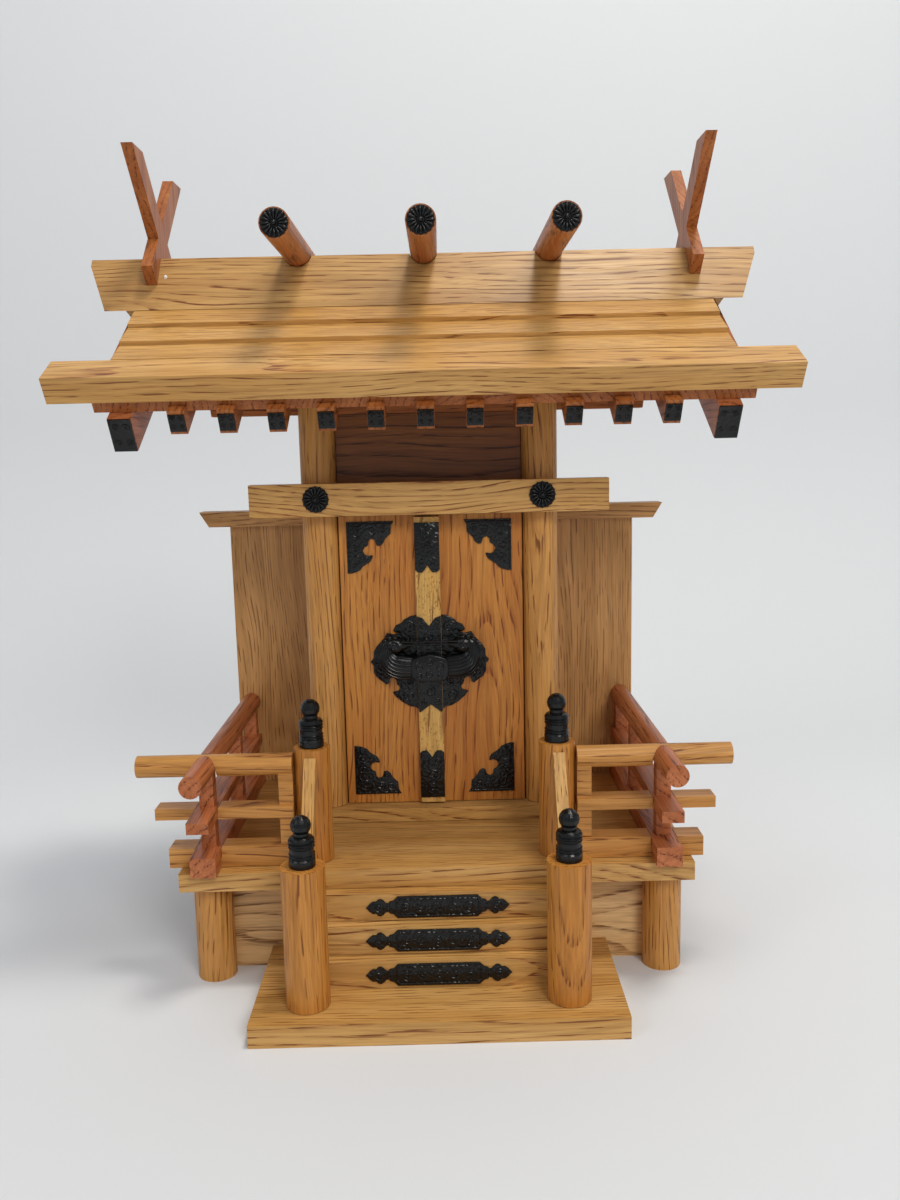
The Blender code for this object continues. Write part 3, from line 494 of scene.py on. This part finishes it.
woodFor(("side_railing_left", "side_railing_right", "barge_board_left", "barge_board_right"), "Y", brick, lines=0.6)
woodFor(("front_railing_left", "front_railing_right"), "X", maize, lines=0.6)
woodFor(("stair_handrail_left", "stair_handrail_right"), "stair", straw, 0.0024, (0.0, 0.30, 0.02), lines=0.4)
woodFor(("forked_finial_left", "forked_finial_right"), "Z", russet, 0.0030)
for newel in newels:
    finial = nodes[newel.replace("newel", "newel_finial")]
    finial.data.materials.clear()
    finial.data.materials.append(blackMetal)
print("materials on the frame")

# Rosettes: narrow petals that widen outwards lie round a boss on a shallow disc. Studs are on
# the beam, and caps on the ridge logs.
stud = {"radius": 8.0, "petals": 16, "rise": 1.3, "boss": 1.3}
logCap = {"radius": 7.5, "petals": 16, "rise": 1.1, "boss": 1.3}
# Shares of the radius: the disc, and a petal's middle, half length and half width
rosette = {"disc": 0.94, "petalAt": 0.61, "petalLong": 0.39, "petalWide": 0.115, "taper": 0.5}


def makeRosette(name, spec):
    r = spec["radius"] / 1000
    boss = spec["boss"] / 1000
    pieces = [addDisc(name, (0.0, -0.0003, 0.0), r * rosette["disc"], 0.0006, 64)]
    reach = (r * rosette["petalLong"], spec["rise"] / 1000, r * rosette["petalWide"])
    petal = addKnob("petal", (0.0, 0.0, 0.0), reach, 12, 8)
    taper = petal.modifiers.new("taper", "SIMPLE_DEFORM")
    taper.deform_method = "TAPER"
    taper.deform_axis = "X"
    taper.factor = rosette["taper"]
    applyModifiers(petal)
    for i in range(spec["petals"]):
        angle = math.tau * i / spec["petals"]
        place = (math.cos(angle) * r * rosette["petalAt"], -0.0006, math.sin(angle) * r * rosette["petalAt"])
        pieces.append(placeCopy(petal, "petal", place, (0.0, -angle, 0.0)))
    bpy.data.objects.remove(petal, do_unlink=True)
    pieces.append(addKnob("boss", (0.0, -0.0014, 0.0), (boss, boss, boss), 16, 10))
    return joinAll(pieces, name)


beamLow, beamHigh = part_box("front_beam")
pillarLow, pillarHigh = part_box("front_pillar_right")
pattern = makeRosette("stud", stud)
for side, sign in (("left", -1), ("right", 1)):
    place = (sign * (pillarLow.x + pillarHigh.x) / 2, beamLow.y, (beamLow.z + beamHigh.z) / 2 + 0.0006)
    finishPiece(placeCopy(pattern, "beam_stud_" + side, place), blackMetal, "shrine")
bpy.data.objects.remove(pattern, do_unlink=True)
pattern = makeRosette("log cap", logCap)
for side in ("left", "middle", "right"):
    logLow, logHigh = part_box("ridge_log_" + side)
    x = (logLow.x + logHigh.x) / 2
    z = (logLow.z + logHigh.z) / 2
    for end, y, turn in (("front", logLow.y, 0.0), ("back", logHigh.y, math.pi)):
        cap = placeCopy(pattern, f"log_cap_{end}_{side}", (x, y, z), (0.0, 0.0, turn))
        finishPiece(cap, blackMetal, "shrine")
bpy.data.objects.remove(pattern, do_unlink=True)
print("rosettes")

# Small caps on the ends of the rafters and barge boards, square to the slope: a sheet with a
# raised rim and four curls
roofSlope = math.radians(32)
rafterCap = {"wide": 8.6, "tall": 9.8, "thick": 0.9, "rim": 0.9, "sunk": 0.35, "curl": 0.42}
bargeCap = {"wide": 12.0, "tall": 19.2, "thick": 0.9, "rim": 1.1, "sunk": 0.35, "curl": 0.42}
capCurls = ((-0.24, 0.24, 1, 30), (0.24, 0.24, -1, 150), (-0.24, -0.24, -1, 200), (0.24, -0.24, 1, 340))


def endsOf(name, facing, widest):
    # Middles of the narrow end faces that look down the slope, from left to right
    out = Vector((0.0, facing * math.cos(roofSlope), -math.sin(roofSlope)))
    mesh = nodes[name].data
    groups = []
    for face in mesh.polygons:
        corners = [mesh.vertices[index].co for index in face.vertices]
        wide = max(c.x for c in corners) - min(c.x for c in corners)
        if face.normal.dot(out) < 0.99 or wide > widest:
            continue
        for group in groups:
            if abs(group[0].x - corners[0].x) < widest * 1.2:
                group.extend(corners)
                break
        else:
            groups.append(list(corners))
    middles = []
    for group in groups:
        lowest = Vector(min(c[i] for c in group) for i in range(3))
        highest = Vector(max(c[i] for c in group) for i in range(3))
        middles.append((lowest + highest) / 2)
    return sorted(middles, key=lambda middle: middle.x)


def makeCap(name, spec):
    wide = spec["wide"] / 1000
    tall = spec["tall"] / 1000
    thick = spec["thick"] / 1000
    plate = addBlock(name, (-wide / 2, -thick, -tall / 2), (wide / 2, 0.0, tall / 2))
    pick(plate, "FACE", lambda face: face.normal.y < -0.9)
    bpy.ops.mesh.inset(thickness=spec["rim"] / 1000, depth=-spec["sunk"] / 1000)
    bpy.ops.object.mode_set(mode="OBJECT")
    pieces = [plate]
    face = -thick + spec["sunk"] / 1000
    for across, up, facing, start in capCurls:
        spot = (across * wide, face, up * tall)
        pieces.append(addSpiral("curl", spot, spec["wide"] * 0.18, 1.2, facing, start, spec["curl"]))
    return joinAll(pieces, name)


for kind, spec in (("rafter", rafterCap), ("barge", bargeCap)):
    pattern = makeCap(kind + " cap", spec)
    for end, facing in (("front", -1), ("back", 1)):
        places = {}
        if kind == "rafter":
            places = dict(enumerate(endsOf(end + "_roof_deck", facing, 0.012)))
        else:
            for side in ("left", "right"):
                places[side] = endsOf("barge_board_" + side, facing, 0.016)[0]
        turn = (roofSlope, 0.0, math.pi if facing > 0 else 0.0)
        for label, place in places.items():
            cap = placeCopy(pattern, f"{kind}_cap_{end}_{label}", place, turn)
            finishPiece(cap, embossedMetal, "shrine")
    bpy.data.objects.remove(pattern, do_unlink=True)
print("rafter caps")

# Step plates: a long scrolled panel with a pointed bulb at each end
stepPlate = {"thick": 1.1, "edge": 0.3, "rim": 0.46, "scroll": 0.44, "tendril": 0.38, "pitch": 8.6}
stepOutline = [
    (21.9, 6.2), (24.2, 3.9), (26.2, 3.4), (27.0, 2.4), (28.2, 2.6), (29.4, 4.0), (31.0, 5.0),
    (32.6, 4.6), (33.6, 3.4), (35.4, 3.5), (37.2, 2.2), (38.3, 0.8), (39.2, 0.0), (38.3, -0.8),
    (37.2, -2.2), (35.4, -3.5), (33.6, -3.4), (32.6, -4.6), (31.0, -5.0), (29.4, -4.0), (28.2, -2.6),
    (27.0, -2.4), (26.2, -3.4), (24.2, -3.9), (21.9, -6.2),
]
stepRim = [
    (20.6, 4.7), (-20.6, 4.7), (-22.6, 2.9), (-22.6, -2.9), (-20.6, -4.7), (20.6, -4.7), (22.6, -2.9), (22.6, 2.9),
]
thick = stepPlate["thick"] / 1000
front = (0.0, -thick, 0.0)
pieces = [addFret("step plate", mirrored(stepOutline), (0.0, -thick / 2, 0.0), thick, stepPlate["edge"] / 1000)]
for (ax, az), (bx, bz) in zip(stepRim, stepRim[1:] + stepRim[:1]):
    pieces.append(addWire("rim", [(ax, az, 0.0), (bx, bz, 0.0)], front, stepPlate["rim"]))
for i in range(5):
    x = (i - 2) * stepPlate["pitch"]
    facing = 1 if i % 2 else -1
    pieces.append(addSpiral("scroll", (x / 1000, -thick, 0.0), 3.3, 1.6, facing, 90 * facing, stepPlate["scroll"]))
    if i < 4:
        wave = [(x + 3.3, facing * 0.5, 0.0), (x + 4.3, -facing * 2.4, 0.0), (x + 5.4, facing * 0.6, 0.0)]
        pieces.append(addWire("tendril", wave, front, stepPlate["tendril"]))
for sign in (-1, 1):
    pieces.append(addSpiral("bulb scroll", (sign * 0.0322, -thick, 0.0), 2.8, 1.3, sign, 0, stepPlate["scroll"]))
    for up in (-0.0014, 0.0014):
        pieces.append(addKnob("bead", (sign * 0.0268, -thick, up), (0.0007, 0.0007, 0.0007)))
pattern = joinAll(pieces, "step plate")
for number, name in enumerate(("step_top", "step_middle", "step_low")):
    stepLow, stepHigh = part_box(name)
    place = (0.0, stepLow.y, (stepLow.z + stepHigh.z) / 2)
    finishPiece(placeCopy(pattern, f"step_plate_{number}", place), embossedMetal, "shrine")
bpy.data.objects.remove(pattern, do_unlink=True)
print("step plates")

# Door corner plates: fretted, with a three-lobed opening. Each is a mirror of the upper left one.
cornerPlate = {
    "inset": {"left": 4.6, "right": 6.4}, "fromTop": 3.4, "fromBottom": 5.8,
    "thick": 1.0, "edge": 0.28, "scroll": 0.42, "rim": 0.34,
}
cornerOutline = [
    (0.0, 0.0), (28.4, 0.0), (26.8, 2.6), (26.5, 7.4), (24.8, 8.9), (23.0, 10.8), (21.8, 13.3),
    (19.8, 14.8), (17.9, 14.4), (17.4, 12.4), (16.6, 10.8), (14.6, 10.3), (13.1, 11.6), (12.8, 14.2),
    (10.8, 15.3), (9.5, 17.3), (10.4, 19.4), (12.4, 20.6), (15.5, 20.2), (15.2, 21.9), (13.9, 24.1),
    (11.5, 25.5), (9.3, 27.0), (7.8, 29.0), (5.2, 30.2), (2.4, 31.0), (0.0, 31.0),
]
# Across, down, reach, turns and way round of each scroll
cornerScrolls = (
    (6.4, 6.4, 4.2, 1.5, 1), (15.6, 5.2, 3.4, 1.4, -1), (22.2, 5.0, 2.6, 1.3, 1),
    (5.0, 15.2, 3.2, 1.4, -1), (5.2, 23.4, 3.2, 1.4, 1), (10.8, 22.6, 1.8, 1.2, -1),
)
thick = cornerPlate["thick"] / 1000
outline = [(x, -z) for x, z in cornerOutline]
pieces = [addFret("corner plate", outline, (0.0, -thick / 2, 0.0), thick, cornerPlate["edge"] / 1000)]
for x, z, reach, turns, facing in cornerScrolls:
    spot = (x / 1000, -thick, -z / 1000)
    pieces.append(addSpiral("scroll", spot, reach, turns, facing, 60, cornerPlate["scroll"]))
for end in ((26.2, -1.2, 0.0), (1.2, -29.4, 0.0)):
    pieces.append(addWire("rim", [(1.2, -1.2, 0.0), end], (0.0, -thick, 0.0), cornerPlate["rim"]))
pattern = joinAll(pieces, "corner plate")
for side, across in (("left", 1), ("right", -1)):
    doorLow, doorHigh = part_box(side + "_door")
    inset = across * cornerPlate["inset"][side] / 1000
    x = (doorLow.x if side == "left" else doorHigh.x) + inset
    for end, up in (("upper", 1), ("lower", -1)):
        z = doorHigh.z - cornerPlate["fromTop"] / 1000 if up > 0 else doorLow.z + cornerPlate["fromBottom"] / 1000
        plate = placeCopy(pattern, f"corner_plate_{side}_{end}", (x, doorLow.y, z), flip=(across, 1, up))
        finishPiece(plate, embossedMetal, side + "_leaf")
bpy.data.objects.remove(pattern, do_unlink=True)
print("corner plates")

# Large lock plate in three parts: on each leaf, and on the strip between. Sizes in millimetres,
# and scrolls as across, up, reach and way round
lockPlate = {"middle": 167.8, "thick": 1.1, "edge": 0.3, "cut": 7.6, "gap": 0.3, "stretch": 1.035, "scroll": 0.44}
lockOutline = [
    (0.0, 22.9), (3.6, 27.9), (7.2, 29.3), (11.0, 28.6), (14.8, 26.5), (16.2, 24.6), (19.6, 23.1),
    (21.2, 20.0), (19.6, 18.6), (17.2, 18.4), (20.8, 17.6), (24.8, 18.6), (26.7, 15.3), (28.4, 13.4),
    (31.0, 10.5), (32.9, 7.2), (33.0, 3.3), (35.0, 0.8), (33.3, -1.5), (33.2, -6.2), (31.0, -9.5),
    (28.6, -11.4), (25.9, -13.6), (24.4, -12.6), (23.9, -10.0), (21.7, -9.3), (20.1, -11.2),
    (19.6, -13.8), (18.2, -15.3), (18.7, -17.4), (22.4, -18.4), (20.5, -21.5), (16.7, -24.8),
    (12.4, -27.5), (9.1, -28.1), (6.2, -30.5), (3.8, -28.6), (0.0, -25.6),
]
stripScrolls = (
    (0.0, 17.0, 3.6, 1), (0.0, -17.0, 3.6, -1), (-3.8, 23.4, 2.2, 1),
    (3.8, 23.4, 2.2, -1), (-3.8, -24.0, 2.2, 1), (3.8, -24.0, 2.2, -1),
)
leafScrolls = (
    (12.2, 22.0, 3.8, 1), (22.8, 13.8, 2.6, -1), (28.0, 7.0, 3.2, 1), (29.4, -2.4, 2.8, -1),
    (26.4, -8.0, 2.2, 1), (13.2, -20.6, 4.0, -1), (12.6, -11.6, 2.8, 1),
)
stripLow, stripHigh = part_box("door_strip")
stripX = (stripLow.x + stripHigh.x) / 2
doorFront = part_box("left_door")[0].y
cut = lockPlate["cut"]
inner = cut - lockPlate["gap"]
for part, lowX, highX, face, body in (
    ("left", -40.0, -cut, doorFront, "left_leaf"),
    ("middle", -inner, inner, stripLow.y, "right_leaf"),
    ("right", cut, 40.0, doorFront, "right_leaf"),
):
    z = lockPlate["middle"] / 1000
    thick = lockPlate["thick"] / 1000
    outline = [(x * lockPlate["stretch"], up) for x, up in mirrored(lockOutline)]
    plate = addFret("lock plate", outline, (stripX, face - thick / 2, z), thick, lockPlate["edge"] / 1000)
    blockLow = (stripX + lowX / 1000, face - 0.01, z - 0.05)
    keepInside(plate, addBlock("part", blockLow, (stripX + highX / 1000, face + 0.01, z + 0.05)))
    sign = -1 if part == "left" else 1
    pieces = [plate]
    for x, up, reach, facing in stripScrolls if part == "middle" else leafScrolls:
        spot = (stripX + sign * x / 1000, face - thick, z + up / 1000)
        pieces.append(addSpiral("scroll", spot, reach, 1.5, sign * facing, 90, lockPlate["scroll"]))
    finishPiece(joinAll(pieces, "lock_plate_" + part), embossedMetal, body)
print("lock plate")

# Plates at the strip's head and foot, the foot's a mirror of the head's
stripPlate = {"wide": 14.8, "tall": 30.0, "thick": 1.0, "edge": 0.28, "notch": 4.4, "inset": 3.3, "scroll": 0.42}
w = stripPlate["wide"] / 2
t = stripPlate["tall"]
thick = stripPlate["thick"] / 1000
half = [(w, 0.0), (w, t - 1.6), (w - 1.6, t - 0.2), (3.0, t), (1.6, t - 1.8), (0.0, t - stripPlate["notch"])]
outline = [(x, -z) for x, z in mirrored(half)]
pieces = [addFret("strip plate", outline, (0.0, -thick / 2, 0.0), thick, stripPlate["edge"] / 1000)]
for x, z, reach, facing in ((0.0, 6.4, 3.8, 1), (0.0, 15.0, 3.8, -1), (-3.2, 23.0, 2.4, 1), (3.2, 23.0, 2.4, -1)):
    spot = (x / 1000, -thick, -z / 1000)
    pieces.append(addSpiral("scroll", spot, reach, 1.5, facing, 90, stripPlate["scroll"]))
pattern = joinAll(pieces, "strip plate")
inset = stripPlate["inset"] / 1000
for end, z, up in (("upper", stripHigh.z - inset, 1), ("lower", stripLow.z + inset, -1)):
    plate = placeCopy(pattern, "strip_plate_" + end, (stripX, stripLow.y, z), flip=(1, 1, up))
    finishPiece(plate, embossedMetal, "right_leaf")
bpy.data.objects.remove(pattern, do_unlink=True)
print("strip plates")

# Shrimp-shaped lock: a sleeve, two feathered arms that curl up into heads, and a double rod.
# Sizes in millimetres
lock = {
    "flat": 0.46, "feather": 0.5, "sleeve": 7.6, "sleeveEdge": 1.2, "relief": 0.4,
    "rod": 0.65, "rodLong": 34.0, "rodUp": 15.0, "rodGap": 1.7, "rodOut": 2.2,
}
# Across, up and radius of an arm from the sleeve outwards
arm = [
    (9.0, 0.2, 6.6), (14.0, 0.4, 7.3), (19.0, 1.0, 7.5), (23.4, 3.0, 6.8),
    (26.2, 7.0, 5.6), (26.6, 11.0, 4.8), (24.8, 14.2, 4.4), (21.6, 15.6, 3.4),
]
head = {"reach": (0.0060, 0.0031, 0.0049), "across": 20.6, "up": 14.2}
beak = [(17.8, 14.2, 0.0, 3.4), (14.0, 14.4, 0.3, 2.2), (10.8, 14.9, 0.8, 0.8)]  # across, up, out and radius
combs = ((26.4, 17.2, 1.8), (23.6, 18.6, 2.2), (20.4, 18.6, 1.8))  # across, up and height
feathers = (-0.85, -0.6, -0.3, 0.0, 0.3, 0.6, 0.85)  # places across an arm, as shares of its radius
lockLow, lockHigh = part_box("shrimp_lock")
lockMiddle = Vector(((lockLow.x + lockHigh.x) / 2, (lockLow.y + lockHigh.y) / 2, lockLow.z + 0.0080))


def onLock(across, out, up):
    return lockMiddle + Vector((across, -out, up)) / 1000


pieces = []
for sign in (-1, 1):
    line = [(sign * x, z, 0.0) for x, z, _ in arm]
    pieces.append(addWire("arm", line, lockMiddle, [radius for _, _, radius in arm], lock["flat"], 5))
    # Feathers: ridges that run along the arm
    for place in feathers:
        ridge = []
        for before, (x, z, radius), after in zip([arm[0]] + arm[:-1], arm, arm[1:] + [arm[-1]]):
            along = Vector((after[0] - before[0], after[1] - before[1])).normalized()
            out = lock["flat"] * radius * math.sqrt(1 - place**2)
            ridge.append((sign * (x - along.y * place * radius), z + along.x * place * radius, out))
        pieces.append(addWire("feather", ridge[:-1], lockMiddle, lock["feather"]))
    # Head: a curled brow, a beak over the rod's end, and a short comb
    pieces.append(addKnob("head", onLock(sign * head["across"], 0.0, head["up"]), head["reach"], 20, 12))
    pieces.append(addSpiral("brow", onLock(sign * 21.2, 2.9, 14.6), 3.2, 1.4, sign, 90, 0.45))
    line = [(sign * x, z, out) for x, z, out, _ in beak]
    pieces.append(addWire("beak", line, lockMiddle, [radius for *_, radius in beak], 0.9, 3))
    for x, z, tall in combs:
        pieces.append(addKnob("comb", onLock(sign * x, 0.0, z), (0.0016, 0.0015, tall / 1000)))
sleeve = [(0.0, 9.4), (5.4, 8.2), (10.0, 6.6), (11.2, 4.8), (11.4, -4.6), (9.0, -7.0), (4.5, -7.6), (0.0, -7.7)]
deep = lock["sleeve"] / 1000
pieces.append(addFret("sleeve", mirrored(sleeve), onLock(0.0, 0.4, 0.0), deep, lock["sleeveEdge"] / 1000))
face = 0.4 + lock["sleeve"] / 2
for x, z, reach, facing in (
    (-6.0, 1.8, 3.0, 1), (6.0, 1.8, 3.0, -1), (0.0, -2.8, 2.8, 1),
    (0.0, 4.4, 2.2, -1), (-6.4, -4.0, 1.9, -1), (6.4, -4.0, 1.9, 1),
):
    pieces.append(addSpiral("relief", onLock(x, face, z), reach, 1.4, facing, 90, lock["relief"]))
for up in (lock["rodUp"], lock["rodUp"] + lock["rodGap"]):
    rod = [(-lock["rodLong"] / 2, up, lock["rodOut"]), (lock["rodLong"] / 2, up, lock["rodOut"])]
    pieces.append(addWire("rod", rod, lockMiddle, lock["rod"], 1.0, 3))
shrimp = finishPiece(joinAll(pieces, "shrimp_lock_dressed"), blackMetal, "right_leaf")
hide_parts("shrimp_lock")
print("lock")

# Painted light: a pale bead beside the left finial's foot, sagging a little, where the bright backdrop shows through
# the gap between the finial's sticks
gapLight = {"place": (-0.1489, 0.0090, 0.3980), "reach": (0.0011, 0.0009, 0.0012), "sag": (0.0, -0.0002, -0.0005)}
bead = addKnob("painted_gap_light", gapLight["place"], gapLight["reach"], 16, 10)
pick(bead, "FACE", lambda face: face.normal.z < -0.6)
bpy.ops.transform.translate(value=gapLight["sag"])
bpy.ops.object.mode_set(mode="OBJECT")
# Painted light: off-white with a slight shine, standing in for the bright backdrop seen through the gap
finishPiece(bead, makePlain("painted light through the gap", "e8e2d6", 0.4), "shrine")
print("painted gap light")

# Studio: a sheet of pale paper that curves up behind the shrine, under soft light
sweep = {"start": 0.40, "radius": 0.34, "wide": 6.0, "front": -3.0, "tall": 3.6}
bpy.ops.object.select_all(action="DESELECT")
bpy.ops.mesh.primitive_plane_add(size=1.0)
backdrop = bpy.context.active_object
backdrop.name = "backdrop"
wall = sweep["start"] + sweep["radius"]
backdrop.scale = (sweep["wide"], wall - sweep["front"], 1.0)
backdrop.location = (0.0, (wall + sweep["front"]) / 2, 0.0)
settle(backdrop)
mesh = backdrop.data
pick(backdrop, "EDGE", lambda edge: min(mesh.vertices[index].co.y for index in edge.vertices) > wall - 0.01)
bpy.ops.mesh.extrude_region_move(TRANSFORM_OT_translate={"value": (0.0, 0.0, sweep["tall"])})
bpy.ops.object.mode_set(mode="OBJECT")
mesh = backdrop.data
pick(
    backdrop, "EDGE",
    lambda edge: all(
        mesh.vertices[index].co.y > wall - 0.01 and mesh.vertices[index].co.z < 0.01 for index in edge.vertices
    ),
)
bpy.ops.mesh.bevel(offset=sweep["radius"], segments=32)
bpy.ops.object.mode_set(mode="OBJECT")
useOnly(backdrop)
bpy.ops.object.shade_smooth()
# Uncoated paper: matt, so that it shows the shadow and no glare
backdrop.data.materials.append(makePlain("pale paper", "dcdee1", 0.95))

world = bpy.data.worlds.new("soft room")
bpy.context.scene.world = world
world.use_nodes = True
world.node_tree.nodes["Background"].inputs["Color"].default_value = srgb("f4f7fb")
world.node_tree.nodes["Background"].inputs["Strength"].default_value = 0.43

# Place, aim, size in metres, power in watts and colour of each lamp
lamps = {
    "ceiling light": ((0.35, -0.2, 1.9), (0.0, 0.1, 0.2), 0.35, 14.0, "fffaf0"),
    "window light": ((0.8, -2.0, 1.6), (0.0, 0.0, 0.25), 0.8, 22.0, "fdfbf6"),
    "far window": ((-1.6, -1.5, 1.5), (0.0, 0.0, 0.25), 0.7, 6.0, "f4faff"),
}
for name, (place, aim, size, power, colour) in lamps.items():
    bpy.ops.object.select_all(action="DESELECT")
    bpy.ops.object.light_add(type="AREA", location=place)
    lamp = bpy.context.active_object
    lamp.name = name
    lamp.data.shape = "SQUARE"
    lamp.data.size = size
    lamp.data.energy = power
    lamp.data.color = srgb(colour)[:3]
    lamp.rotation_euler = (Vector(aim) - Vector(place)).to_track_quat("-Z", "Y").to_euler()

cameraView = {"place": (0.00723, -0.6088, 0.30308), "yaw": -0.344, "pitch": -8.966, "roll": -1.290, "lens": 30.93}
bpy.ops.object.select_all(action="DESELECT")
bpy.ops.object.camera_add(location=cameraView["place"])
camera = bpy.context.active_object
turn = Matrix.Rotation(math.radians(cameraView["yaw"]), 3, "Z")
turn = turn @ Matrix.Rotation(math.radians(90 + cameraView["pitch"]), 3, "X")
turn = turn @ Matrix.Rotation(math.radians(cameraView["roll"]), 3, "Z")
camera.rotation_euler = turn.to_euler()
camera.data.sensor_width = 36.0
camera.data.lens = cameraView["lens"]
camera.data.clip_start = 0.01
camera.data.clip_end = 20.0
bpy.context.scene.camera = camera
bpy.context.scene.view_settings.view_transform = "Standard"
print("studio")
